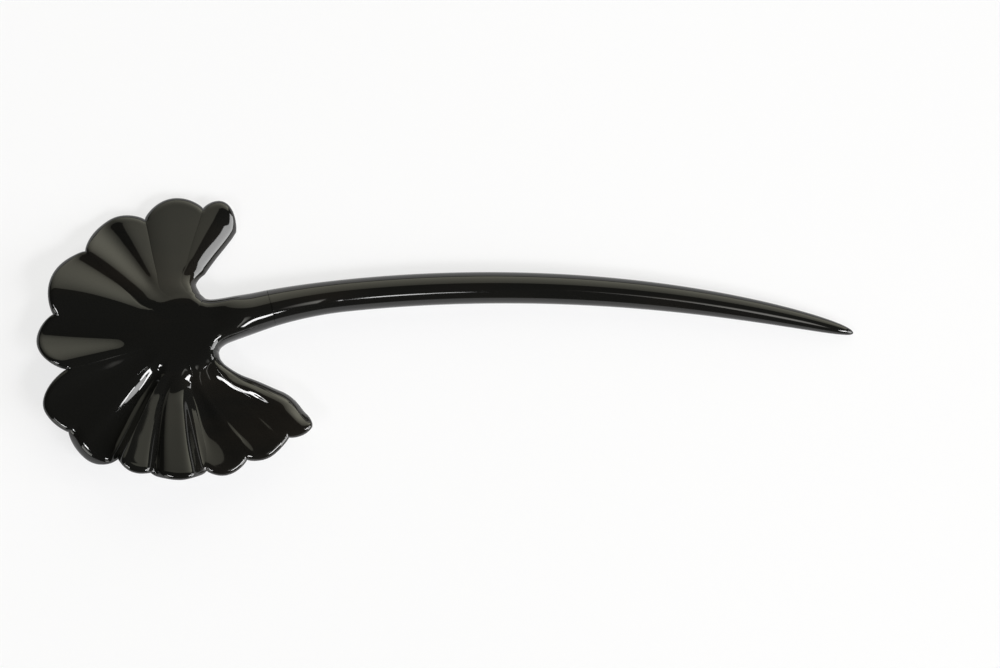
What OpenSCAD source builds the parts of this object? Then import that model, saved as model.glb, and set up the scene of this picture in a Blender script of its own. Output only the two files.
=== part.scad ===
// Hair pin with a fluted ginkgo leaf for a head, in polished black horn.
// The leaf lies face up on the flat pad behind its hub, and the pin runs along +X.
// The pin is a separate piece: its round tenon is glued into a blind socket in the leaf's neck.

/* [Leaf] */
// Height of the hub's front above the pad
hub_height = 7; // [6.6:0.1:7.4]
// Radius of the flat pad behind the hub
pad_r = 6; // [4:0.5:6.5]
// Thickness of the leaf out at its rim
rim_thickness = 2.4; // [1.8:0.1:2.6]
// Width of the rounding along every edge of the leaf
edge_rounding = 1.3; // [0.8:0.1:1.6]
// Share of the full depth that the flutes are carved to
flute_depth = 1; // [0.6:0.1:1.1]
// How far the two inner edges bend down beside the neck
edge_curl = 1.9; // [0:0.1:2]
// Height of the bead that follows the lower inner edge
bead_height = 0.8; // [0:0.05:1]

/* [Pin] */
// Radius of the long arch that most of the pin follows
arch_r = 292; // [252:5:322]
// Width of the pin where the arch begins
pin_width = 6.5; // [6:0.1:7]
// Thickness of the pin as a share of its width
pin_flatness = 0.92; // [0.85:0.01:1]
// Reach of the pin's tip along X
tip_x = 134.2; // [120:1:145]

/* [Tenon joint] */
// Radius of the tenon on the pin's root
tenon_r = 1.9; // [1.6:0.1:2]
// Length of the tenon
tenon_length = 9; // [7:0.5:9]
// Thickness of the glue round the tenon
glue_gap = 0.1; // [0.05:0.05:0.15]

/* [Smoothness] */
// Steps from a notch in the rim to the crown of a petal
petal_steps = 5; // [3:1:6]
// Sides of the pin's cross-section
pin_sides = 28; // [20:2:32]
// Rings along the pin
pin_rings = 44; // [30:2:50]

/* [Hidden] */
$fn = 48;
horn = [0.05, 0.045, 0.04];
glue = [0.25, 0.2, 0.12];

// ---- petals: [notch angle, notch radius, crown angle, crown radius], anticlockwise from the neck
petals = [
    [64, 24.8, 74, 29.5],
    [81, 27.3, 92.5, 29.1],
    [106.7, 25.8, 121, 28.6],
    [137.2, 26.2, 153, 28.8],
    [169.4, 26, 181, 28.9],
    [196, 23.8, 209, 31],
    [220.4, 29.4, 232, 30.8],
    [243.5, 27.8, 251, 29.3],
    [258, 28.3, 270, 29.3],
    [281, 27.4, 289.5, 29.3],
    [298.3, 28, 308, 30.1],
    [317, 29.6, 325, 31.9]
];
fan_start = petals[0][0];
fan_end = 329;
fan_end_r = 29.2;
notch_sharpness = 0.8;

// ---- flutes, one row a crest or trough: [angle at the hub, angle at the rim, drop off the hub, height at the rim]
flutes = [
    [60, 64, 0, -3.4], [75, 77, 0, -3.7], [93, 93, 0, -4], [105, 107, 0, -3.9], [112, 117.5, 0, -3.7],
    [118, 123.5, 0, -4.5], [127, 136.5, 0, -1.4], [136, 142, 0, -2.3], [143, 160, 0, 0.6],
    [148, 164, 0, 0.5], [184, 178, 0, -1.7], [190, 191.5, 0.2, 1.1], [199, 199, 0.3, 0.6],
    [208, 208, 0.6, -0.2], [220, 220, 0.6, -0.2], [227, 228.5, 0.9, 0.2], [231, 232.5, 2, -0.2],
    [236, 237.5, 2.2, -0.3], [240, 240.5, 1.4, -0.6], [242, 245.5, 1.1, 3.1], [248, 256.5, 1.1, 2.7],
    [251, 260, 1.1, 0.9], [257, 264, 1.1, 2.5], [269, 275, 1.1, 3], [274, 280, 1.3, -0.4],
    [282, 286, 2, -0.5], [285.5, 292, 1.7, -0.6], [287.5, 300.6, 1, -0.4], [289, 301.8, 1, -0.15],
    [290.5, 303, 1, -0.4], [311, 311.5, 1, -0.3], [312.2, 312.8, 1, 0], [313.4, 314.2, 1, -0.3],
    [322, 322.5, 0.8, -0.2], [323.4, 323.8, 0.7, 0.1], [325, 325.3, 0.6, -0.2], [335, 329, 0.3, -0.1]
];
flute_start = 7.6;      // radius at which the flutes leave the hub
shoulder = [5.6, 10.2]; // radii between which they drop off it
facet_rounding = 0.4;   // 0 for flat facets between the crests, 1 for waves

// ---- edges beside the neck: [radius, angle] for the leaf's, [x, y] for the neck's
upper_edge = [[9.6, 60], [9.9, 67], [11.3, 74.6], [12.7, 74], [14.2, 70.6], [18.4, 67.2], [22.2, 64.8], [24.8, 64]];
lower_edge = [[8, 341], [8.6, 334], [10.1, 329.8], [13, 328.9], [17.1, 331], [21.1, 332], [24.6, 332.2], [29.2, 329]];
neck_top = [[4.8, 8.3], [5.9, 8.1], [8, 8.3], [11.1, 8.85], [14, 9.35]];
neck_bottom = [[7.6, -2.6], [8, -1.7], [9.2, -0.8], [11.1, -0.05], [14, 1]];

// ---- rings of the leaf's surface, from the hub's middle to its boundary and on to the rim
inner_steps = [0, 0.35, 0.65, 0.85, 1];
outer_steps = [0.08, 0.2, 0.34, 0.5, 0.66, 0.8, 0.9, 0.96, 0.99, 1];
hub_rings = len(inner_steps) - 1;
rings = hub_rings + len(outer_steps);
neck_columns = pin_sides / 2;
hub_r = 8;
hub_reach = 1.6;        // how much further the hub reaches at the upper notch
thin_from = 6.6;        // radii between which the leaf thins from the hub to its rim
thin_to = 14;
back_bulge = 0.5;       // how far the hub's back would swell past the pad if it weren't cut flat
curl_width = 3.2;
lip_drop = 1.8;         // how far the rim turns down on the petal left of the fan's lowest
lip_width = 3;
neck_from = 6.5;        // distances from the hub over which its section turns into the pin's
neck_to = 16;

// ---- the pin's centreline: a tight arc out of the neck, then the long arch
arch_top = [63.4, 10.65];
turn_angle = 6;         // slope at which the tight arc takes over
root_arc_r = 106;
joint_angle = 14.2;     // slope of the centreline at the joint with the leaf
flare_from = 32;        // x at which the root begins to widen
lift = 0.25;            // clearance under the pin's root
arch_centre = arch_top - [0, arch_r];
turn_point = arch_centre + arch_r * [-sin(turn_angle), cos(turn_angle)];
root_centre = turn_point - root_arc_r * [-sin(turn_angle), cos(turn_angle)];
tip_angle = -asin((tip_x - arch_top[0]) / arch_r);
joint_point = centre_at(joint_angle);
joint_normal = [-sin(joint_angle), cos(joint_angle)];
joint_half = width_at(joint_point[0]) / 2;
joint_top = joint_point + joint_half * joint_normal;
joint_bottom = joint_point - joint_half * joint_normal;
joint_z = height_at(joint_point[0]);
socket_depth = tenon_length + glue_gap;

// ---- small helpers
function mix(a, b, f) = a + (b - a) * f;
function ease(f) = let (c = min(max(f, 0), 1)) c * c * (3 - 2 * c);
function ramp(x, low, high) = ease((x - low) / (high - low));
function wave(f) = (1 - cos(180 * f)) / 2;
function span_of(table, x, i = 0) = i >= len(table) - 2 || x < table[i + 1][0] ? i : span_of(table, x, i + 1);
function catmull(a, b, c, d, f) =
    0.5 * (2 * b + (c - a) * f + (2 * a - 5 * b + 4 * c - d) * f * f + (3 * b - a - 3 * c + d) * f * f * f);
// the last point only sets the direction that the line ends in
function along(points, f) =
    let (n = len(points) - 2, i = min(floor(f * n), n - 1), g = f * n - i)
    catmull(points[max(i - 1, 0)], points[i], points[i + 1], points[i + 2], g);

// ---- the pin's centreline by its slope, and its width and height by x
function centre_at(slope) =
    slope > turn_angle
        ? root_centre + root_arc_r * [-sin(slope), cos(slope)]
        : arch_centre + arch_r * [-sin(slope), cos(slope)];
function width_at(x) =
    let (f = min(max((x - 25) / (tip_x - 25), 0), 1))
    pin_width * pow(1 - pow(f, 2.6), 0.4) + 0.0095 * pow(max(flare_from - x, 0), 1.75);
function height_at(x) = pin_flatness * width_at(x) / 2 + lift * max(1 - x / tip_x, 0);

// ---- the leaf's plan
function rim_radius(angle) =
    let (
        i = max([for (j = [0:len(petals) - 1]) angle >= petals[j][0] ? j : 0]),
        p = petals[i],
        q = i < len(petals) - 1 ? petals[i + 1] : [fan_end, fan_end_r],
        f = angle < p[2] ? (angle - p[0]) / (p[2] - p[0]) : (q[0] - angle) / (q[0] - p[2]),
        notch_r = angle < p[2] ? p[1] : q[1]
    )
    mix(notch_r, p[3], pow(sin(90 * min(max(f, 0), 1)), notch_sharpness));
rib_angles = [
    for (i = [0:len(petals) - 1])
        let (p = petals[i], end = i < len(petals) - 1 ? petals[i + 1][0] : fan_end)
        each [
            for (j = [0:petal_steps - 1]) mix(p[0], p[2], 1 - cos(90 * j / petal_steps)),
            for (j = [0:petal_steps - 1]) mix(p[2], end, sin(90 * j / petal_steps))
        ],
    fan_end
];
ribs = len(rib_angles) - 1;
columns = ribs + 1 + neck_columns + 1;
function polar_edge(edge, radius) =
    let (
        i = span_of(edge, radius),
        a = edge[i], b = edge[i + 1],
        before = edge[max(i - 1, 0)], after = edge[min(i + 2, len(edge) - 1)],
        f = min(max((radius - a[0]) / (b[0] - a[0]), 0), 1)
    )
    catmull(before[1], a[1], b[1], after[1], f);
function fan_point(i, step) =
    let (
        u = (rib_angles[i] - fan_start) / (fan_end - fan_start),
        hub = hub_r + hub_reach * pow(1 - u, 8),
        a = polar_edge(upper_edge, mix(hub_r + hub_reach, rim_radius(fan_start), step)) - fan_start,
        b = polar_edge(lower_edge, mix(hub_r, rim_radius(fan_end), step)) - fan_end,
        radius = mix(hub, rim_radius(rib_angles[i]), step),
        angle = rib_angles[i] + a * pow(1 - u, 3) + b * pow(u, 3)
    )
    radius * [cos(angle), sin(angle)];
beyond = centre_at(joint_angle - 1.8);
beyond_side = width_at(beyond[0]) / 2 * [-sin(joint_angle - 1.8), cos(joint_angle - 1.8)];
neck_top_line = concat(neck_top, [joint_top, beyond + beyond_side]);
neck_bottom_line = concat(neck_bottom, [joint_bottom, beyond - beyond_side]);
function neck_point(i, step) = mix(along(neck_bottom_line, step), along(neck_top_line, step), wave(i / neck_columns));
function plan_point(c, k) =
    let (step = k > hub_rings ? outer_steps[k - hub_rings - 1] : 0, inner = inner_steps[min(k, hub_rings)])
    inner * (c <= ribs ? fan_point(c, step) : neck_point(c - ribs - 1, step));
plan = [for (c = [0:columns - 1]) [for (k = [0:rings]) plan_point(c, k)]];

// ---- the leaf's outline, open at the joint, and the distance in from it
outline = [
    for (k = [rings:-1:hub_rings + 1]) plan[columns - 1][k],
    for (k = [hub_rings:rings]) plan[0][k],
    for (c = [1:ribs]) plan[c][rings],
    for (k = [rings - 1:-1:hub_rings]) plan[ribs][k],
    for (k = [hub_rings + 1:rings]) plan[ribs + 1][k]
];
function to_segment(p, a, b) =
    let (d = b - a, f = min(max(((p - a) * d) / (d * d), 0), 1))
    norm(p - a - f * d);
function to_line(p, line) = min([for (i = [0:len(line) - 2]) to_segment(p, line[i], line[i + 1])]);
upper_line = [for (k = [hub_rings:rings]) plan[0][k]];
lower_line = [for (k = [hub_rings:rings]) plan[ribs][k]];

// ---- the leaf's relief
function relief(p, rim_r) =
    let (
        r = norm(p),
        angle = (atan2(p[1], p[0]) + 360) % 360,
        grown = max(r - flute_start, 0) / (rim_r - flute_start),
        near = pow(min(grown, 1), 0.7),
        knots = [for (f = flutes) mix(f[0], f[1], near)],
        i = max([for (j = [0:len(flutes) - 2]) angle >= knots[j] ? j : 0]),
        f = min(max((angle - knots[i]) / (knots[i + 1] - knots[i]), 0), 1),
        g = mix(f, wave(f), facet_rounding),
        drop = mix(flutes[i][2], flutes[i + 1][2], g),
        height = mix(flutes[i][3], flutes[i + 1][3], g)
    )
    (height + drop) * grown - drop * ramp(r, shoulder[0], shoulder[1]);
function bend(p, r, lower) =
    let (
        upper = to_line(p, upper_line) * mix(1.05, 0.78, ramp(r, 11, 26)),
        into = 1 - min(upper, 1.3 * lower) / curl_width
    )
    edge_curl * (into + sqrt(into * into + 0.02)) / 2 * ramp(r, 8, 15);
function bead(p, r, lower) =
    bead_height * ramp(lower, curl_width - 1.5, curl_width + 1.1)
        * ramp(r, 6, 12) * ramp(p[0], 0.5, 6) * ramp(p[1], -2.6, -5) * ramp(r, 30, 18);
function lip(r, angle, rim_r) =
    lip_drop * pow(max(1 - (rim_r - r) / lip_width, 0), 1.8) * ramp(angle, 219, 224) * ramp(angle, 243, 235);
function front_at(p, c) =
    let (r = norm(p), rim_r = rim_radius(rib_angles[c]), lower = to_line(p, lower_line))
    hub_height + flute_depth * relief(p, rim_r) - bend(p, r, lower) - bead(p, r, lower) - lip(r, rib_angles[c], rim_r);
// middle of the leaf's section, and half its thickness there
function section_at(c, k) =
    let (
        p = plan[c][k],
        r = norm(p),
        mid_x = (plan[ribs + 1][k][0] + plan[columns - 1][k][0]) / 2,
        neck = c > ribs ? ramp(p * [cos(18), sin(18)], neck_from, neck_to) : 0,
        thin = c <= ribs ? ramp(r, thin_from, thin_to) : 0,
        bulge = back_bulge * (1 - pow(min(r / pad_r, 1.3), 2)),
        thickness = mix(hub_height, rim_thickness, thin) + bulge,
        front = c <= ribs ? front_at(p, c) : hub_height,
        rounding = edge_rounding + 1 - ramp(r, 8.5, 14),
        inset = min(to_line(p, outline) / rounding, 1),
        across = c > ribs ? cos(180 * (c - ribs - 1) / neck_columns) : 0
    )
    [
        mix(front - thickness / 2, height_at(mid_x), neck),
        mix(thickness / 2, pin_flatness * width_at(mid_x) / 2, neck)
            * mix(sqrt(1 - pow(1 - inset, 2)), sqrt(max(1 - across * across, 0)), neck)
    ];

// ---- numbering of the leaf's points: both sides share the outline, and neighbours share the hub
function on_outline(c, k) =
    (c <= ribs && k == rings) || (k >= hub_rings && (c == 0 || c == ribs || c == ribs + 1 || c == columns - 1));
function column_of(c, k) = k > hub_rings ? c : c == ribs + 1 ? ribs : c == columns - 1 ? 0 : c;
function number(c, k, side) =
    k == 0 ? (side > 0 ? 0 : 1)
    : let (own = column_of(c, k), back = side < 0 && !on_outline(own, k) ? 1 : 0)
      2 + (back * columns + own) * rings + k - 1;
function leaf_points() =
    let (sections = [for (c = [0:columns - 1]) [for (k = [0:rings]) section_at(c, k)]])
    [
        for (side = [1, -1]) [0, 0, sections[0][0] * [1, side]],
        for (side = [1, -1]) for (c = [0:columns - 1]) for (k = [1:rings])
            [plan[c][k][0], plan[c][k][1], sections[c][k] * [1, side]]
    ];
function turned(face, side) = side > 0 ? [face[2], face[1], face[0]] : face;
function leaf_faces() = [
    for (side = [1, -1]) for (c = [0:columns - 2]) if (c != ribs) each [
        turned([number(c, 0, side), number(c, 1, side), number(c + 1, 1, side)], side),
        for (k = [1:rings - 1])
            let (a = number(c, k, side), b = number(c, k + 1, side), d = number(c + 1, k + 1, side), e = number(c + 1, k, side))
            each c < ribs / 2
                ? [turned([a, b, e], side), turned([b, d, e], side)]
                : [turned([a, b, d], side), turned([a, d, e], side)]
    ],
    for (c = [ribs + 1:columns - 2])
        let (a = number(c, rings, 1), b = number(c + 1, rings, 1), d = number(c + 1, rings, -1), e = number(c, rings, -1))
        each [
            if (b != d) [a, b, d],
            if (a != e) [a, d, e]
        ]
];

// ---- parts
module at_joint() {
    translate([joint_point[0], joint_point[1], joint_z])
        rotate([0, 0, joint_angle])
            rotate([0, -90, 0])
                children();
}

module leaf_head() {
    color(horn)
        difference() {
            polyhedron(leaf_points(), leaf_faces(), convexity = 10);
            translate([-20, -20, -4])
                cube([40, 40, 4]);
            at_joint()
                translate([0, 0, -1])
                    cylinder(r = tenon_r + glue_gap, h = socket_depth + 1);
        }
}

module pin_body() {
    slopes = [for (i = [0:pin_rings - 1]) mix(joint_angle, tip_angle, sin(90 * i / pin_rings))];
    stations = [for (s = slopes) let (c = centre_at(s)) [c[0], c[1], s, width_at(c[0]) / 2]];
    end = centre_at(tip_angle);
    function ring_point(station, j) =
        let (a = 360 * j / pin_sides, w = station[3] * cos(a), h = pin_flatness * station[3] * sin(a))
        [station[0] - w * sin(station[2]), station[1] + w * cos(station[2]), height_at(station[0]) + h];
    points = [for (s = stations) for (j = [0:pin_sides - 1]) ring_point(s, j), [end[0], end[1], height_at(tip_x)]];
    function id(i, j) = i * pin_sides + j % pin_sides;
    sides = [
        for (i = [0:pin_rings - 2]) for (j = [0:pin_sides - 1]) each [
            [id(i, j), id(i + 1, j + 1), id(i, j + 1)],
            [id(i, j), id(i + 1, j), id(i + 1, j + 1)]
        ]
    ];
    root = [for (j = [0:pin_sides - 1]) id(0, j)];
    tip = [for (j = [0:pin_sides - 1]) [id(pin_rings - 1, j), len(points) - 1, id(pin_rings - 1, j + 1)]];
    polyhedron(points, concat(sides, [root], tip), convexity = 6);
}

module pin_shaft() {
    color(horn)
        union() {
            pin_body();
            at_joint()
                translate([0, 0, -2])
                    cylinder(r = tenon_r, h = tenon_length + 2);
        }
}

module tenon_glue() {
    color(glue)
        at_joint()
            difference() {
                cylinder(r = tenon_r + glue_gap, h = socket_depth);
                translate([0, 0, -1])
                    cylinder(r = tenon_r, h = tenon_length + 1);
            }
}

leaf_head();
pin_shaft();
tenon_glue();
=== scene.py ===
import math
import bpy
import numpy as np
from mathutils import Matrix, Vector


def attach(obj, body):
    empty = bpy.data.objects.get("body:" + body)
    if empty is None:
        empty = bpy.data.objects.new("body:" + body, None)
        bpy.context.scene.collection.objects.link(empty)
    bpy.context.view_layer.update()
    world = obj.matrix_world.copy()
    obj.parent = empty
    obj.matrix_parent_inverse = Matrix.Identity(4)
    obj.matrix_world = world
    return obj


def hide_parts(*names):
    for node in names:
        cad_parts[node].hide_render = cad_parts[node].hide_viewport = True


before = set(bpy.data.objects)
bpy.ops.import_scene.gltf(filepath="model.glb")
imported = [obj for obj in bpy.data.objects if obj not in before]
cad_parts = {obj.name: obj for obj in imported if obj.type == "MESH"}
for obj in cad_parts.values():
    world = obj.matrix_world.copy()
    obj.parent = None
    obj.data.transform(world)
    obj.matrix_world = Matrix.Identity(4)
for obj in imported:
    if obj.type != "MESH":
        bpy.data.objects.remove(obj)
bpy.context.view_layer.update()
mm = 0.001


# small sums

def ease(f):
    f = np.clip(f, 0, 1)
    return f * f * (3 - 2 * f)


def catmullPoint(points, f):     # the last point only sets the direction that the line ends in
    n = len(points) - 2
    i = min(int(f * n), n - 1)
    g = f * n - i
    a, b, c, d = (np.array(points[max(j, 0)], float) for j in (i - 1, i, i + 1, i + 2))
    return 0.5 * (2 * b + (c - a) * g + (2 * a - 5 * b + 4 * c - d) * g * g + (3 * b - a - 3 * c + d) * g ** 3)


def catmullTable(table, x):
    i = max(j for j in range(len(table) - 1) if j == 0 or x >= table[j][0])
    g = min(max((x - table[i][0]) / (table[i + 1][0] - table[i][0]), 0), 1)
    a, b, c, d = (table[min(max(j, 0), len(table) - 1)][1] for j in (i - 1, i, i + 1, i + 2))
    return 0.5 * (2 * b + (c - a) * g + (2 * a - 5 * b + 4 * c - d) * g * g + (3 * b - a - 3 * c + d) * g ** 3)


def distanceTo(points, line):
    best = np.full(len(points), 1e9)
    for a, b in zip(line[:-1], line[1:]):
        d = b - a
        f = np.clip(((points - a) @ d) / max(d @ d, 1e-12), 0, 1)
        best = np.minimum(best, np.linalg.norm(points - a - f[:, None] * d, axis=1))
    return best


# what every node tree below is made with

def newTree(name, inputs):
    tree = bpy.data.node_groups.new(name, "GeometryNodeTree")
    tree.interface.new_socket("Geometry", in_out="OUTPUT", socket_type="NodeSocketGeometry")
    tree.interface.new_socket("Geometry", in_out="INPUT", socket_type="NodeSocketGeometry")
    for label, kind in inputs:
        tree.interface.new_socket(label, in_out="INPUT", socket_type=kind)
    return tree, tree.nodes.new("NodeGroupInput").outputs, tree.nodes.new("NodeGroupOutput").inputs


def plug(tree, value, socket):
    if isinstance(value, bpy.types.NodeSocket):
        tree.links.new(value, socket)
    elif value is not None:
        socket.default_value = value


def sums(tree, operation, *values):
    node = tree.nodes.new("ShaderNodeMath")
    node.operation = operation
    for value, socket in zip(values, node.inputs):
        plug(tree, value, socket)
    return node.outputs[0]


def blendOf(tree, a, b, f):
    node = tree.nodes.new("ShaderNodeMix")
    for value, socket in zip((f, a, b), (node.inputs[0], node.inputs[2], node.inputs[3])):
        plug(tree, value, socket)
    return node.outputs[0]


def rampOf(tree, value, low, high, outLow=0.0, outHigh=1.0, kind="SMOOTHSTEP"):
    node = tree.nodes.new("ShaderNodeMapRange")
    node.interpolation_type = kind
    for v, socket in zip((value, low, high, outLow, outHigh), node.inputs):
        plug(tree, v, socket)
    return node.outputs[0]


def stored(tree, name):
    node = tree.nodes.new("GeometryNodeInputNamedAttribute")
    node.data_type = "FLOAT"
    node.inputs["Name"].default_value = name
    return node.outputs[0]


def closeTree(tree, geometry, materialSocket, out):
    shade = tree.nodes.new("GeometryNodeSetShadeSmooth")
    real = tree.nodes.new("GeometryNodeRealizeInstances")
    paint = tree.nodes.new("GeometryNodeSetMaterial")
    tree.links.new(geometry, shade.inputs["Geometry"])
    tree.links.new(shade.outputs[0], real.inputs["Geometry"])
    tree.links.new(real.outputs[0], paint.inputs["Geometry"])
    tree.links.new(materialSocket, paint.inputs["Material"])
    tree.links.new(paint.outputs[0], out[0])


def grow(name, startMesh, tree, values):
    start = bpy.data.objects.new(name + "Start", startMesh)
    bpy.context.scene.collection.objects.link(start)
    change = start.modifiers.new("shape", "NODES")
    change.node_group = tree
    for item in tree.interface.items_tree:
        if item.in_out == "INPUT" and item.name in values:
            change[item.identifier] = values[item.name]
    graph = bpy.context.evaluated_depsgraph_get()
    done = bpy.data.meshes.new_from_object(start.evaluated_get(graph))
    done.name = name
    start.modifiers.remove(change)
    bpy.data.objects.remove(start)
    piece = bpy.data.objects.new(name, done)
    bpy.context.scene.collection.objects.link(piece)
    done.set_sharp_from_angle(angle=math.radians(55))
    return piece


# polished black horn

hornLook = {
    "base": (0.006, 0.006, 0.0055, 1),
    "streak": (0.012, 0.01, 0.008, 1),
    "roughness": 0.04,
    "ior": 1.54,
    "waviness": 0.08,
    "pinWaviness": 0.02,     # a turned pin comes out truer than a carved leaf
    "scratches": 0.02,
}


def makeHorn(name, look):
    horn = bpy.data.materials.new(name)
    horn.use_nodes = True
    nodes, links = horn.node_tree.nodes, horn.node_tree.links
    skin = nodes["Principled BSDF"]
    skin.inputs["IOR"].default_value = look["ior"]
    where = nodes.new("ShaderNodeTexCoord")

    def noise(scale, stretch, detail, turn=0.0):
        place = nodes.new("ShaderNodeMapping")
        place.inputs["Scale"].default_value = stretch
        place.inputs["Rotation"].default_value = (0, 0, turn)
        links.new(where.outputs["Object"], place.inputs["Vector"])
        node = nodes.new("ShaderNodeTexNoise")
        node.inputs["Scale"].default_value = scale
        node.inputs["Detail"].default_value = detail
        links.new(place.outputs[0], node.inputs["Vector"])
        return node.outputs[0]

    streaks = nodes.new("ShaderNodeValToRGB")
    streaks.color_ramp.elements[0].position = 0.5
    streaks.color_ramp.elements[0].color = look["base"]
    streaks.color_ramp.elements[1].position = 0.78
    streaks.color_ramp.elements[1].color = look["streak"]
    links.new(noise(70, (0.25, 1, 1), 4), streaks.inputs[0])     # the grain runs along X, as the pin does
    links.new(streaks.outputs[0], skin.inputs["Base Color"])

    wear = nodes.new("ShaderNodeMapRange")
    wear.inputs["To Min"].default_value = look["roughness"] * 0.8
    wear.inputs["To Max"].default_value = look["roughness"] * 1.5
    links.new(noise(220, (1, 1, 1), 5), wear.inputs[0])
    links.new(wear.outputs[0], skin.inputs["Roughness"])

    waves = nodes.new("ShaderNodeBump")
    waves.inputs["Strength"].default_value = look["waviness"]
    waves.inputs["Distance"].default_value = 0.00005
    links.new(noise(180, (0.6, 1, 1), 1), waves.inputs["Height"])
    fine = nodes.new("ShaderNodeBump")
    fine.inputs["Strength"].default_value = look["scratches"]
    fine.inputs["Distance"].default_value = 0.00001
    links.new(noise(1500, (0.08, 1, 1), 2, 0.3), fine.inputs["Height"])
    links.new(waves.outputs[0], fine.inputs["Normal"])
    links.new(fine.outputs[0], skin.inputs["Normal"])
    return horn


leafHorn = makeHorn("leafHorn", hornLook)
pinHorn = makeHorn("pinHorn", {**hornLook, "waviness": hornLook["pinWaviness"]})
print("horn mixed")


# the pin, in millimetres and degrees: its centreline is a long arc and a tighter one at the root

pinShape = {
    "archRadius": 292,
    "archTop": (63.4, 10.65),
    "turnAngle": 6,          # slope at which the tighter arc takes over
    "rootRadius": 106,
    "jointAngle": 14.2,      # slope at the joint with the leaf
    "tipX": 134.2,
    "width": 6.5,
    "flatness": 0.92,
    "taperFrom": 25,
    "taperPowers": (2.6, 0.4),
    "flareFrom": 32,
    "flareGrowth": 0.0095,
    "flarePower": 1.75,
    "lift": 0.25,            # gap under the root
    "tenonRadius": 1.9,
    "tenonLength": 9,
    "glueGap": 0.1,
    "rings": 260,
    "sides": 72,
}


def centreAt(slope):
    s = pinShape
    a, t = math.radians(slope), math.radians(s["turnAngle"])
    archX, archY = s["archTop"][0], s["archTop"][1] - s["archRadius"]
    if slope <= s["turnAngle"]:
        return archX - s["archRadius"] * math.sin(a), archY + s["archRadius"] * math.cos(a)
    x = archX - (s["archRadius"] - s["rootRadius"]) * math.sin(t) - s["rootRadius"] * math.sin(a)
    y = archY + (s["archRadius"] - s["rootRadius"]) * math.cos(t) + s["rootRadius"] * math.cos(a)
    return x, y


def widthAt(x):
    s = pinShape
    f = min(max((x - s["taperFrom"]) / (s["tipX"] - s["taperFrom"]), 0), 1)
    slow, blunt = s["taperPowers"]
    flare = s["flareGrowth"] * max(s["flareFrom"] - x, 0) ** s["flarePower"]
    return s["width"] * (1 - f ** slow) ** blunt + flare


def heightAt(x):
    return pinShape["flatness"] * widthAt(x) / 2 + pinShape["lift"] * max(1 - x / pinShape["tipX"], 0)


tipAngle = -math.degrees(math.asin((pinShape["tipX"] - pinShape["archTop"][0]) / pinShape["archRadius"]))
joint = np.array(centreAt(pinShape["jointAngle"]))
jointAngle = math.radians(pinShape["jointAngle"])
jointAlong = np.array([math.cos(jointAngle), math.sin(jointAngle)])
jointAcross = np.array([-math.sin(jointAngle), math.cos(jointAngle)])
jointHalf = widthAt(joint[0]) / 2
jointZ = heightAt(joint[0])


def pinLine():
    s = pinShape
    points, radii, flats = [], [], []
    for back in np.linspace(s["tenonLength"], 0.01, 10):     # the tenon, from its end to the joint
        points.append((*(joint - back * jointAlong), jointZ))
        radii.append(s["tenonRadius"])
        flats.append(1)
    for i in range(s["rings"] + 1):
        f = math.sin(math.pi / 2 * i / s["rings"])
        slope = s["jointAngle"] + (tipAngle - s["jointAngle"]) * f
        x, y = centreAt(slope)
        points.append((x, y, heightAt(x)))
        radii.append(max(widthAt(x), 0.02) / 2)
        flats.append(s["flatness"])
    mesh = bpy.data.meshes.new("pinLine")
    steps = [(i, i + 1) for i in range(len(points) - 1)]
    mesh.from_pydata([[c * mm for c in p] for p in points], steps, [])
    for label, values in (("radius", radii), ("flat", flats)):
        mesh.attributes.new(label, "FLOAT", "POINT").data.foreach_set("value", np.array(values, np.float32))
    return mesh


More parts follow.
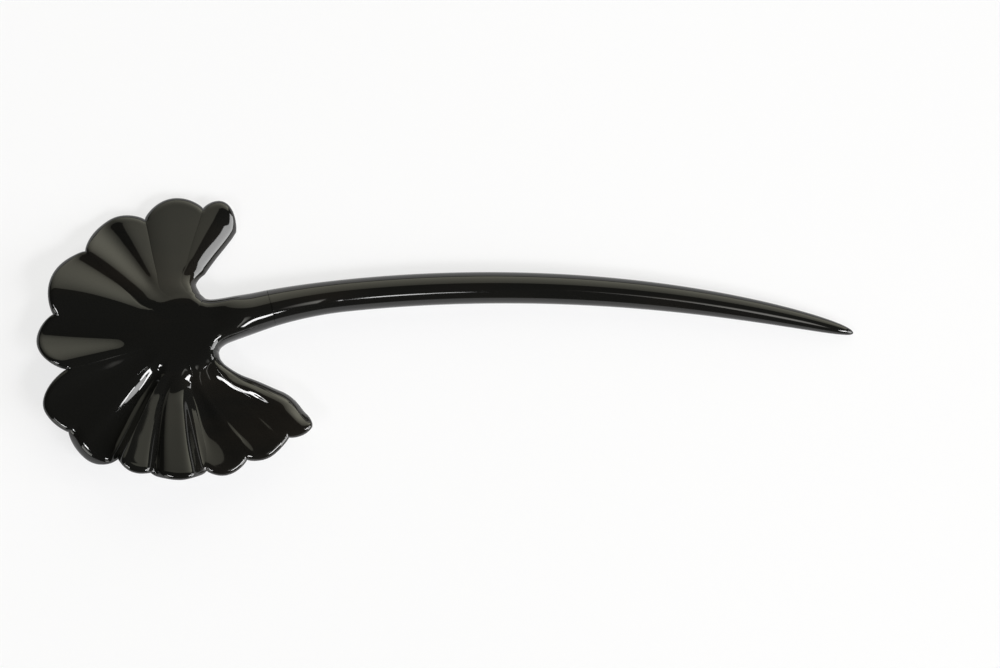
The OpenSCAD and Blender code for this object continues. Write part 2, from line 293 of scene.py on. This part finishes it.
def pinTree():
    tree, given, out = newTree("sweepPin", [
        ("Sides", "NodeSocketInt"), ("Girth", "NodeSocketFloat"), ("Material", "NodeSocketMaterial")])
    profile = tree.nodes.new("GeometryNodeCurvePrimitiveCircle")
    tree.links.new(given["Sides"], profile.inputs["Resolution"])
    profile.inputs["Radius"].default_value = mm
    line = tree.nodes.new("GeometryNodeMeshToCurve")
    tree.links.new(given["Geometry"], line.inputs[0])
    upright = tree.nodes.new("GeometryNodeSetCurveNormal")
    upright.mode = "Z_UP"
    tree.links.new(line.outputs[0], upright.inputs[0])
    keep = tree.nodes.new("GeometryNodeCaptureAttribute")
    keep.domain = "POINT"
    keep.capture_items.new("FLOAT", "flat")
    keep.capture_items.new("FLOAT", "height")
    place = tree.nodes.new("GeometryNodeInputPosition")
    axes = tree.nodes.new("ShaderNodeSeparateXYZ")
    tree.links.new(place.outputs[0], axes.inputs[0])
    tree.links.new(upright.outputs[0], keep.inputs[0])
    tree.links.new(stored(tree, "flat"), keep.inputs[1])
    tree.links.new(axes.outputs[2], keep.inputs[2])
    sweep = tree.nodes.new("GeometryNodeCurveToMesh")
    tree.links.new(keep.outputs[0], sweep.inputs["Curve"])
    tree.links.new(profile.outputs[0], sweep.inputs["Profile Curve"])
    sweep.inputs["Fill Caps"].default_value = True
    tree.links.new(sums(tree, "MULTIPLY", stored(tree, "radius"), given["Girth"]), sweep.inputs["Scale"])

    # press the round section flat about its own middle
    sweptPlace = tree.nodes.new("GeometryNodeInputPosition")
    sweptAxes = tree.nodes.new("ShaderNodeSeparateXYZ")
    tree.links.new(sweptPlace.outputs[0], sweptAxes.inputs[0])
    off = sums(tree, "SUBTRACT", sweptAxes.outputs[2], keep.outputs[2])
    pressed = sums(tree, "MULTIPLY_ADD", off, keep.outputs[1], keep.outputs[2])
    rebuilt = tree.nodes.new("ShaderNodeCombineXYZ")
    tree.links.new(sweptAxes.outputs[0], rebuilt.inputs[0])
    tree.links.new(sweptAxes.outputs[1], rebuilt.inputs[1])
    tree.links.new(pressed, rebuilt.inputs[2])
    move = tree.nodes.new("GeometryNodeSetPosition")
    tree.links.new(sweep.outputs[0], move.inputs["Geometry"])
    tree.links.new(rebuilt.outputs[0], move.inputs["Position"])
    closeTree(tree, move.outputs[0], given["Material"], out)
    return tree


pin = grow("pin", pinLine(), pinTree(), {
    "Sides": pinShape["sides"], "Girth": 1.0, "Material": pinHorn})
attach(pin, "root")
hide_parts("pin_shaft")
print("pin swept", len(pin.data.polygons))


# the leaf, in millimetres and degrees: petals round a hub, and a neck that runs into the pin

leafShape = {
    # notch angle, notch radius, crown angle, crown radius, anticlockwise from the neck
    "petals": [
        (64, 24.8, 74, 29.5), (81, 27.3, 92.5, 29.1), (106.7, 25.8, 121, 28.6), (137.2, 26.2, 153, 28.8),
        (169.4, 26, 181, 28.9), (196, 23.8, 209, 31), (220.4, 29.4, 232, 30.8), (243.5, 27.8, 251, 29.3),
        (258, 28.3, 270, 29.3), (281, 27.4, 289.5, 29.3), (298.3, 28, 308, 30.1), (317, 29.6, 325, 31.9)],
    "end": (329, 29.2),
    # each crest and trough: angle at the hub, angle at the rim, drop off the hub's edge, height at the rim
    "flutes": [
        (60, 64, 0, -3.4), (75, 77, 0, -3.7), (93, 93, 0, -4), (105, 107, 0, -3.9), (112, 117.5, 0, -3.7),
        (118, 123.5, 0, -4.5), (127, 136.5, 0, -1.4), (136, 142, 0, -2.3), (143, 160, 0, 0.6),
        (148, 164, 0, 0.5), (184, 178, 0, -1.7), (190, 191.5, 0.2, 1.1), (199, 199, 0.3, 0.6),
        (208, 208, 0.6, -0.2), (220, 220, 0.6, -0.2), (227, 228.5, 0.9, 0.2), (231, 232.5, 2, -0.2),
        (236, 237.5, 2.2, -0.3), (240, 240.5, 1.4, -0.6), (242, 245.5, 1.1, 3.1), (248, 256.5, 1.1, 2.7),
        (251, 260, 1.1, 0.9), (257, 264, 1.1, 2.5), (269, 275, 1.1, 3), (274, 280, 1.3, -0.4),
        (282, 286, 2, -0.5), (285.5, 292, 1.7, -0.6), (287.5, 300.6, 1, -0.4), (289, 301.8, 1, -0.15),
        (290.5, 303, 1, -0.4), (311, 311.5, 1, -0.3), (312.2, 312.8, 1, 0), (313.4, 314.2, 1, -0.3),
        (322, 322.5, 0.8, -0.2), (323.4, 323.8, 0.7, 0.1), (325, 325.3, 0.6, -0.2), (335, 329, 0.3, -0.1)],
    # radius and angle along the fan's two edges beside the neck, then points along the neck's edges
    "upperEdge": [
        (9.6, 60), (9.9, 67), (11.3, 74.6), (12.7, 74), (14.2, 70.6), (18.4, 67.2), (22.2, 64.8), (24.8, 64)],
    "lowerEdge": [
        (8, 341), (8.6, 334), (10.1, 329.8), (13, 328.9), (17.1, 331), (21.1, 332), (24.6, 332.2), (29.2, 329)],
    "neckTop": [(4.8, 8.3), (5.9, 8.1), (8, 8.3), (11.1, 8.85), (14, 9.35)],
    "neckBottom": [(7.6, -2.6), (8, -1.7), (9.2, -0.8), (11.1, -0.05), (14, 1)],
    "neckAngle": 18,             # the way the neck leaves the hub
    "neckFrom": 6.5,             # distances over which its section turns into the pin's
    "neckTo": 16,
    "onwardSlope": 12.4,         # a place on the pin past the joint, which the neck heads for
    "hubRadius": 8,
    "hubReach": 1.6,             # how much further the hub reaches at the upper notch
    "hubHeight": 7,
    "padRadius": 6,
    "backBulge": 0.5,
    "thinning": (6.6, 14),       # radii over which the leaf thins to its rim
    "rimThickness": 2.4,
    "edgeRounding": 1.3,
    "hubRounding": (8.5, 14),    # radii over which 1 mm more rounding fades out
    "edgeCurl": 1.9,             # how far the edges beside the neck turn down
    "curlWidth": 3.2,
    "curlStart": (8, 15),
    "beadHeight": 0.8,           # the groove that leaves a bead along the lower lobe's edge
    "beadFlanks": (1.5, 1.1),
    "lipDrop": 1.8,              # how far the rim turns down on the petals between these angles
    "lipAngles": (219, 224, 235, 243),
    "lipWidth": 3,
    "fluteDepth": 1,
    "fluteStart": 7.6,
    "shoulder": (5.6, 10.2),     # radii between which the flutes drop off the hub
    "facetRounding": 0.4,        # 0 for flat facets between the crests, 1 for waves
    "creaseSoftening": 2,
    "shoulderSoftening": 30,
    "crispBeyond": (10.5, 14),   # radii over which the one softening gives way to the other
    "petalSteps": 17,
}


def rimRadius(angle):
    petals = leafShape["petals"] + [leafShape["end"]]
    i = max(j for j in range(len(petals) - 1) if j == 0 or angle >= petals[j][0])
    notch, notchR, crown, crownR = petals[i]
    after, afterR = petals[i + 1][:2]
    if angle < crown:
        f, low = (angle - notch) / (crown - notch), notchR
    else:
        f, low = (after - angle) / (after - crown), afterR
    return low + (crownR - low) * math.sin(math.pi / 2 * min(max(f, 0), 1)) ** 0.8


def reliefAt(x, y, grown):     # height of the flutes over the hub, where grown runs from 0 to 1 at the rim
    s = leafShape
    r, angle = math.hypot(x, y), math.degrees(math.atan2(y, x)) % 360
    near = min(max(grown, 0), 1) ** 0.7
    lines = [(hub + (rim - hub) * near, drop, height) for hub, rim, drop, height in s["flutes"]]
    i = max(j for j in range(len(lines) - 1) if j == 0 or angle >= lines[j][0])
    f = min(max((angle - lines[i][0]) / (lines[i + 1][0] - lines[i][0]), 0), 1)
    f += s["facetRounding"] * ((1 - math.cos(math.pi * f)) / 2 - f)
    drop = lines[i][1] + (lines[i + 1][1] - lines[i][1]) * f
    height = lines[i][2] + (lines[i + 1][2] - lines[i][2]) * f
    top, foot = s["shoulder"]
    return (height + drop) * grown - drop * float(ease((r - top) / (foot - top)))


def petalAngles():     # closest together at the notches
    s = leafShape
    petals, steps = s["petals"], s["petalSteps"]
    turns = [math.pi / 2 * j / steps for j in range(steps)]
    angles = []
    for i, (notch, _, crown, _) in enumerate(petals):
        after = petals[i + 1][0] if i + 1 < len(petals) else s["end"][0]
        angles += [notch + (crown - notch) * (1 - math.cos(turn)) for turn in turns]
        angles += [crown + (after - crown) * math.sin(turn) for turn in turns]
    return angles + [s["end"][0]]


def leafBlank():     # the leaf's outline as a double sheet, flat, with what carves it stored on its points
    s = leafShape
    angles = petalAngles()
    start, end = angles[0], angles[-1]
    ribs = len(angles) - 1
    neckSteps = pinShape["sides"] // 2

    # rings as parts of the way to the hub's edge, then on to the rim, finer at the shoulder and the rim
    inner = [0.15 * i for i in range(5)] + [0.6 + 0.4 * i / 14 for i in range(1, 15)]
    outer = [0.93 * i / 48 for i in range(1, 49)]
    outer += [0.93 + 0.07 * math.sin(math.pi / 2 * i / 9) for i in range(1, 10)]
    hubRings = len(inner) - 1
    rings = hubRings + len(outer)

    beyond, beyondAngle = np.array(centreAt(s["onwardSlope"])), math.radians(s["onwardSlope"])
    beyondAcross = np.array([-math.sin(beyondAngle), math.cos(beyondAngle)]) * widthAt(beyond[0]) / 2
    neckTop = s["neckTop"] + [joint + jointHalf * jointAcross, beyond + beyondAcross]
    neckBottom = s["neckBottom"] + [joint - jointHalf * jointAcross, beyond - beyondAcross]
    rims = [rimRadius(a) for a in angles]
    hubLow, hubHigh = s["hubRadius"], s["hubRadius"] + s["hubReach"]

    def planPoint(c, k):
        step = outer[k - hubRings - 1] if k > hubRings else 0
        inward = inner[min(k, hubRings)]
        if c <= ribs:
            u = (angles[c] - start) / (end - start)
            upper = catmullTable(s["upperEdge"], hubHigh + (rims[0] - hubHigh) * step)
            lower = catmullTable(s["lowerEdge"], hubLow + (rims[-1] - hubLow) * step)
            angle = math.radians(angles[c] + (upper - start) * (1 - u) ** 3 + (lower - end) * u ** 3)
            hub = hubLow + s["hubReach"] * (1 - u) ** 8
            radius = hub + (rims[c] - hub) * step
            return inward * radius * np.array([math.cos(angle), math.sin(angle)])
        f = (1 - math.cos(math.pi * (c - ribs - 1) / neckSteps)) / 2
        low, high = catmullPoint(neckBottom, step), catmullPoint(neckTop, step)
        return inward * (low + (high - low) * f)

    # columns run round the fan, then across the neck
    columns = ribs + 1 + neckSteps + 1
    plan = np.array([[planPoint(c, k) for k in range(rings + 1)] for c in range(columns)])

    def fromLine(line):
        return distanceTo(plan.reshape(-1, 2), line).reshape(columns, rings + 1)

    inset = fromLine(np.concatenate([
        plan[-1, rings:hubRings:-1], plan[0, hubRings:], plan[1:ribs + 1, rings],
        plan[ribs, rings - 1:hubRings - 1:-1], plan[ribs + 1, hubRings + 1:]]))
    upperBeside, lowerBeside = fromLine(plan[0, hubRings:]), fromLine(plan[ribs, hubRings:])
    rimInset = fromLine(plan[:ribs + 1, rings])

    neckTurn = math.radians(s["neckAngle"])
    lipStart, lipFull, lipFade, lipEnd = s["lipAngles"]
    points, ids = [], {}
    values = {label: [] for label in (
        "side", "relief", "inset", "upperBeside", "lowerBeside", "rimInset",
        "lip", "neck", "across", "pinMiddle", "pinHalf", "carve")}

    def lipAt(c):
        rise = (angles[c] - lipStart) / (lipFull - lipStart)
        fall = (lipEnd - angles[c]) / (lipEnd - lipFade)
        return float(ease(rise) * ease(fall))

    def neckAt(x, y):
        along = x * math.cos(neckTurn) + y * math.sin(neckTurn)
        return float(ease((along - s["neckFrom"]) / (s["neckTo"] - s["neckFrom"])))

    def add(c, k, side):     # one point, shared where the two sheets or two columns meet
        if k <= hubRings and c in (ribs + 1, columns - 1):
            c = ribs if c == ribs + 1 else 0
        edge = (c <= ribs and k == rings) or (k >= hubRings and c in (0, ribs, ribs + 1, columns - 1))
        key = (0, 0, side) if k == 0 else (c, k, 1 if edge else side)
        if key not in ids:
            ids[key] = len(points)
            x, y = plan[c, k]
            points.append((x, y, 0))
            r = math.hypot(x, y)
            onNeck = c > ribs
            midX = (plan[ribs + 1, k][0] + plan[-1, k][0]) / 2
            grown = max(r - s["fluteStart"], 0) / (rims[c] - s["fluteStart"]) if not onNeck else 0
            cover = {
                "side": 0 if edge else side,
                "relief": reliefAt(x, y, grown) if not onNeck else 0,
                "inset": 0 if edge else inset[c, k],
                "upperBeside": upperBeside[c, k] if not onNeck else 99,
                "lowerBeside": lowerBeside[c, k] if not onNeck else 99,
                "rimInset": rimInset[c, k],
                "lip": lipAt(c) if not onNeck else 0,
                "neck": neckAt(x, y) if onNeck else 0,
                "across": math.cos(math.pi * (c - ribs - 1) / neckSteps) if onNeck else 0,
                "pinMiddle": heightAt(midX),
                "pinHalf": pinShape["flatness"] * widthAt(midX) / 2,
                "carve": 1,
            }
            for label in values:
                values[label].append(cover[label])
        return ids[key]

    faces = []
    for side in (1, -1):
        for c in range(columns - 1):
            if c == ribs:
                continue
            for k in range(rings):
                quad = [add(c, k, side), add(c, k + 1, side), add(c + 1, k + 1, side), add(c + 1, k, side)]
                quad = [q for i, q in enumerate(quad) if q != quad[i - 1]]
                faces.append(quad if side > 0 else quad[::-1])

    # the joint's face, and the socket in it
    front = [add(c, rings, 1) for c in range(ribs + 1, columns)]
    back = [add(c, rings, -1) for c in range(columns - 2, ribs + 1, -1)]
    loop = front + back
    hole = pinShape["tenonRadius"] + pinShape["glueGap"]
    depth = pinShape["tenonLength"] + pinShape["glueGap"]

    def socketRing(deep):
        ring = []
        for i in range(len(loop)):
            a = math.pi - 2 * math.pi * i / len(loop)
            spot = joint + hole * math.cos(a) * jointAcross - deep * jointAlong
            points.append((spot[0], spot[1], jointZ + hole * math.sin(a)))
            for label in values:
                values[label].append(0)
            ring.append(len(points) - 1)
        return ring

    mouth, floor = socketRing(0), socketRing(depth)
    n = len(loop)
    for i in range(n):
        j = (i + 1) % n
        faces.append([loop[j], loop[i], mouth[i], mouth[j]][::-1])
        faces.append([mouth[j], mouth[i], floor[i], floor[j]][::-1])
    faces.append(floor[::-1])
    mesh = bpy.data.meshes.new("leafBlank")
    mesh.from_pydata([[v * mm for v in p] for p in points], [], faces)
    for label, row in values.items():
        mesh.attributes.new(label, "FLOAT", "POINT").data.foreach_set("value", np.array(row, np.float32))
    return mesh


def leafTree():
    s = leafShape
    lengths = ("Hub Height", "Flute Depth", "Rim Thickness", "Edge Rounding", "Edge Curl", "Curl Width",
               "Bead Height", "Lip Drop", "Pad Radius", "Back Bulge")
    tree, given, out = newTree("carveLeaf", [(label, "NodeSocketFloat") for label in lengths] + [
        ("Crease Softening", "NodeSocketInt"), ("Shoulder Softening", "NodeSocketInt"),
        ("Material", "NodeSocketMaterial")])

    def m(operation, *values):
        return sums(tree, operation, *values)

    def ramp(value, low, high, *ends):
        return rampOf(tree, value, low, high, *ends)

    def soften(value, times):
        blur = tree.nodes.new("GeometryNodeBlurAttribute")
        tree.links.new(value, blur.inputs["Value"])
        plug(tree, times, blur.inputs["Iterations"])
        return blur.outputs[0]

    place = tree.nodes.new("GeometryNodeInputPosition")
    axes = tree.nodes.new("ShaderNodeSeparateXYZ")
    tree.links.new(place.outputs[0], axes.inputs[0])
    x, y, z = (m("DIVIDE", axes.outputs[i], mm) for i in range(3))
    r = m("SQRT", m("ADD", m("MULTIPLY", x, x), m("MULTIPLY", y, y)))
    neck = stored(tree, "neck")

    # flutes
    crisp = soften(stored(tree, "relief"), given["Crease Softening"])
    soft = soften(stored(tree, "relief"), given["Shoulder Softening"])
    flutes = m("MULTIPLY", blendOf(tree, soft, crisp, ramp(r, *s["crispBeyond"])), given["Flute Depth"])

    # the two edges beside the neck curl down past a soft hinge
    upperReach = m("MULTIPLY", stored(tree, "upperBeside"), ramp(r, 11, 26, 1.05, 0.78))
    lowerReach = m("MULTIPLY", stored(tree, "lowerBeside"), 1.3)
    into = m("SUBTRACT", 1, m("DIVIDE", m("MINIMUM", upperReach, lowerReach), given["Curl Width"]))
    bent = m("MULTIPLY", m("ADD", into, m("SQRT", m("MULTIPLY_ADD", into, into, 0.02))), 0.5)
    curl = m("MULTIPLY", m("MULTIPLY", bent, given["Edge Curl"]), ramp(r, *s["curlStart"]))

    # the groove inside the lower lobe's edge, faded out at the hub, the rim and the neck
    inside, outside = s["beadFlanks"]
    groove = ramp(stored(tree, "lowerBeside"), m("SUBTRACT", given["Curl Width"], inside),
                  m("ADD", given["Curl Width"], outside))
    inLobe = m("MULTIPLY", m("MULTIPLY", ramp(r, 6, 12), ramp(x, 0.5, 6)), ramp(y, -2.6, -5))
    onLobe = m("MULTIPLY", inLobe, ramp(r, 30, 18))
    groove = m("MULTIPLY", m("MULTIPLY", groove, given["Bead Height"]), onLobe)

    # the turned-down lip
    lipNear = m("MAXIMUM", m("SUBTRACT", 1, m("DIVIDE", stored(tree, "rimInset"), s["lipWidth"])), 0)
    lip = m("MULTIPLY", m("MULTIPLY", m("POWER", lipNear, 1.8), given["Lip Drop"]), stored(tree, "lip"))

    front = m("SUBTRACT", m("SUBTRACT", m("ADD", given["Hub Height"], flutes), curl), groove)
    front = soften(m("SUBTRACT", front, lip), 3)

    # the sheet thins from the hub to the rim, and the back swells over the pad
    thin = m("MULTIPLY", ramp(r, *s["thinning"]), m("COMPARE", neck, 0, 0.0001))
    reach = m("MINIMUM", m("DIVIDE", r, given["Pad Radius"]), 1.3)
    bulge = m("MULTIPLY", given["Back Bulge"], m("SUBTRACT", 1, m("MULTIPLY", reach, reach)))
    thickness = m("ADD", blendOf(tree, given["Hub Height"], given["Rim Thickness"], thin), bulge)
    halfSheet = m("MULTIPLY", thickness, 0.5)
    middle = blendOf(tree, m("SUBTRACT", front, halfSheet), stored(tree, "pinMiddle"), neck)
    half = blendOf(tree, halfSheet, stored(tree, "pinHalf"), neck)

    # rounded edges that turn into the pin's round section along the neck
    rounding = m("ADD", given["Edge Rounding"], ramp(r, *s["hubRounding"], 1, 0))
    short = m("SUBTRACT", 1, m("MINIMUM", m("DIVIDE", stored(tree, "inset"), rounding), 1))
    rounded = m("SQRT", m("SUBTRACT", 1, m("MULTIPLY", short, short)))
    across = stored(tree, "across")
    oval = m("SQRT", m("MAXIMUM", m("SUBTRACT", 1, m("MULTIPLY", across, across)), 0))
    section = blendOf(tree, rounded, oval, neck)
    lift = m("MULTIPLY", m("MULTIPLY", half, section), stored(tree, "side"))
    height = m("MAXIMUM", m("ADD", middle, lift), 0)
    height = blendOf(tree, z, height, stored(tree, "carve"))     # the socket keeps its own height

    rebuilt = tree.nodes.new("ShaderNodeCombineXYZ")
    tree.links.new(axes.outputs[0], rebuilt.inputs[0])
    tree.links.new(axes.outputs[1], rebuilt.inputs[1])
    tree.links.new(m("MULTIPLY", height, mm), rebuilt.inputs[2])
    move = tree.nodes.new("GeometryNodeSetPosition")
    tree.links.new(given["Geometry"], move.inputs["Geometry"])
    tree.links.new(rebuilt.outputs[0], move.inputs["Position"])
    closeTree(tree, move.outputs[0], given["Material"], out)
    return tree


leaf = grow("leaf", leafBlank(), leafTree(), {
    "Hub Height": float(leafShape["hubHeight"]), "Flute Depth": float(leafShape["fluteDepth"]),
    "Rim Thickness": leafShape["rimThickness"], "Edge Rounding": leafShape["edgeRounding"],
    "Edge Curl": leafShape["edgeCurl"], "Curl Width": leafShape["curlWidth"],
    "Bead Height": leafShape["beadHeight"], "Lip Drop": leafShape["lipDrop"],
    "Pad Radius": float(leafShape["padRadius"]), "Back Bulge": leafShape["backBulge"],
    "Crease Softening": leafShape["creaseSoftening"], "Shoulder Softening": leafShape["shoulderSoftening"],
    "Material": leafHorn})
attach(leaf, "root")
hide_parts("leaf_head")
print("leaf carved", len(leaf.data.polygons))


# the glue that the joint hides

glueLook = {
    "dark": (0.2, 0.13, 0.05, 1),
    "light": (0.34, 0.24, 0.1, 1),
    "roughness": 0.3,
    "grain": 900,
}

glue = bpy.data.materials.new("jointGlue")
glue.use_nodes = True
mix = glue.node_tree
mix.nodes["Principled BSDF"].inputs["Roughness"].default_value = glueLook["roughness"]
glueCoord = mix.nodes.new("ShaderNodeTexCoord")
glueNoise = mix.nodes.new("ShaderNodeTexNoise")
glueNoise.inputs["Scale"].default_value = glueLook["grain"]
glueRamp = mix.nodes.new("ShaderNodeValToRGB")
glueRamp.color_ramp.elements[0].color = glueLook["dark"]
glueRamp.color_ramp.elements[1].color = glueLook["light"]
mix.links.new(glueCoord.outputs["Object"], glueNoise.inputs["Vector"])
mix.links.new(glueNoise.outputs[0], glueRamp.inputs[0])
mix.links.new(glueRamp.outputs[0], mix.nodes["Principled BSDF"].inputs["Base Color"])
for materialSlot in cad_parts["tenon_glue"].material_slots:
    materialSlot.material = glue
print("glue coloured")


# floor, light and camera, in metres

studio = {
    "floor": (0.2, 0.2, 0.205, 1),
    "floorGlow": 0.73,
    "floorHalf": 2,
    "worldLow": (0.9, 0.9, 0.88, 1),
    "worldHigh": (0.015, 0.015, 0.014, 1),
    "horizon": (0.08, 0.16),     # heights over which the low sky turns into the high one
    "cameraTilt": 80,
    "cameraFar": 3.5,
    "viewWidth": 0.2,
    "lookAt": (0.0637, 0.0018),
    "sensor": 36,
}

# azimuth and elevation as seen from the pin, width and height, and brightness at the lower and upper edge;
# where given, tilt makes one end brighter than the other, and aim and spread keep a small lamp off the leaf
lamps = {
    "backPanel": dict(azimuth=0, elevation=38, size=(8.7, 4), low=1.75, high=0.55,
                      colour=(1, 0.985, 0.8), tilt=0.9),
    "sidePanel": dict(azimuth=108, elevation=22, size=(3.2, 2.4), low=8.5, high=6),
    "frontLampNear": dict(azimuth=172.9, elevation=56, size=(0.007, 0.055), low=0.034, high=0.034,
                          distance=0.268, aim=(0.0414, 0.008, 0.006), spread=8),
    "frontLampFar": dict(azimuth=170.6, elevation=57, size=(0.0035, 0.04), low=0.0128, high=0.0128,
                         distance=0.268, aim=(0.054, 0.0095, 0.006), spread=6),
    "cornerLamp": dict(azimuth=131, elevation=44, size=(1.8, 0.7), low=22, high=22),
    "leftLamp": dict(azimuth=216, elevation=48, size=(0.8, 0.5), low=22, high=22),
    "farLeftLamp": dict(azimuth=230, elevation=48, size=(0.8, 0.3), low=12, high=12),
    "lowLeftPanel": dict(azimuth=222, elevation=20, size=(1.8, 1.2), low=3, high=2.4, colour=(1, 0.99, 0.94)),
    "tipPanel": dict(azimuth=145.4, elevation=61.6, size=(0.12, 0.36), low=0.085, high=0.075,
                     colour=(1, 0.98, 0.92), distance=0.511, aim=(0.127, 0, 0), spread=26),
}
pinMiddle = Vector((0.04, 0, 0))


def panel(name, azimuth, elevation, size, low, high, colour=(1, 1, 1), tilt=0, distance=4, aim=pinMiddle, spread=180):
    a, e = math.radians(azimuth), math.radians(elevation)
    spot = Vector((math.sin(a) * math.cos(e), math.cos(a) * math.cos(e), math.sin(e))) * distance
    lamp = bpy.data.lights.new(name, "AREA")
    lamp.shape = "RECTANGLE"
    lamp.size, lamp.size_y = size
    lamp.energy = math.pi * size[0] * size[1]     # so that brightness doesn't change with size
    lamp.color = colour
    lamp.spread = math.radians(spread)
    lamp.use_nodes = True
    nodes, links = lamp.node_tree.nodes, lamp.node_tree.links
    face = nodes.new("ShaderNodeNewGeometry")
    faceAxes = nodes.new("ShaderNodeSeparateXYZ")
    links.new(face.outputs["Parametric"], faceAxes.inputs[0])

    def fade(axis, start, end):
        node = nodes.new("ShaderNodeMapRange")
        node.inputs["To Min"].default_value, node.inputs["To Max"].default_value = start, end
        links.new(faceAxes.outputs[axis], node.inputs[0])
        return node.outputs[0]

    both = nodes.new("ShaderNodeMath")
    both.operation = "MULTIPLY"
    links.new(fade(1, low, high), both.inputs[0])
    links.new(fade(0, 1 + tilt, 1 - tilt), both.inputs[1])
    links.new(both.outputs[0], nodes["Emission"].inputs["Strength"])
    stand = bpy.data.objects.new(name, lamp)
    stand.location = pinMiddle + spot
    stand.rotation_euler = (stand.location - Vector(aim)).to_track_quat("Z", "Y").to_euler()
    stand.visible_camera = False
    bpy.context.scene.collection.objects.link(stand)


for lampName, row in lamps.items():
    panel(lampName, **row)
print("lamps hung", len(lamps))

world = bpy.data.worlds.new("studioWorld")
bpy.context.scene.world = world
world.use_nodes = True
sky = world.node_tree
skyCoord = sky.nodes.new("ShaderNodeTexCoord")
skyAxes = sky.nodes.new("ShaderNodeSeparateXYZ")
skyRamp = sky.nodes.new("ShaderNodeValToRGB")
for stop, height, end in zip(skyRamp.color_ramp.elements, studio["horizon"], ("worldLow", "worldHigh")):
    stop.position, stop.color = height, studio[end]
sky.links.new(skyCoord.outputs["Generated"], skyAxes.inputs[0])
sky.links.new(skyAxes.outputs[2], skyRamp.inputs[0])
sky.links.new(skyRamp.outputs[0], sky.nodes["Background"].inputs["Color"])

floorMesh = bpy.data.meshes.new("floor")
half = studio["floorHalf"]
floorMesh.from_pydata([(-half, -half, 0), (half, -half, 0), (half, half, 0), (-half, half, 0)], [], [(0, 1, 2, 3)])
floor = bpy.data.objects.new("floor", floorMesh)
bpy.context.scene.collection.objects.link(floor)
paper = bpy.data.materials.new("whitePaper")
paper.use_nodes = True
paperSkin = paper.node_tree.nodes["Principled BSDF"]
paperSkin.inputs["Base Color"].default_value = studio["floor"]
paperSkin.inputs["Roughness"].default_value = 0.9
paperSkin.inputs["Specular IOR Level"].default_value = 0.1
paperSkin.inputs["Emission Color"].default_value = (1, 1, 1, 1)
paperSkin.inputs["Emission Strength"].default_value = studio["floorGlow"]
floorMesh.materials.append(paper)

tilt = math.radians(studio["cameraTilt"])
lens = bpy.data.cameras.new("camera")
lens.sensor_width = studio["sensor"]
lens.lens = studio["sensor"] * studio["cameraFar"] / studio["viewWidth"]
lens.clip_end = 20
camera = bpy.data.objects.new("camera", lens)
lookX, lookY = studio["lookAt"]
camera.location = (lookX, lookY - studio["cameraFar"] * math.cos(tilt), studio["cameraFar"] * math.sin(tilt))
camera.rotation_euler = (math.pi / 2 - tilt, 0, 0)
bpy.context.scene.collection.objects.link(camera)
bpy.context.scene.camera = camera
bpy.context.scene.view_settings.view_transform = "Standard"
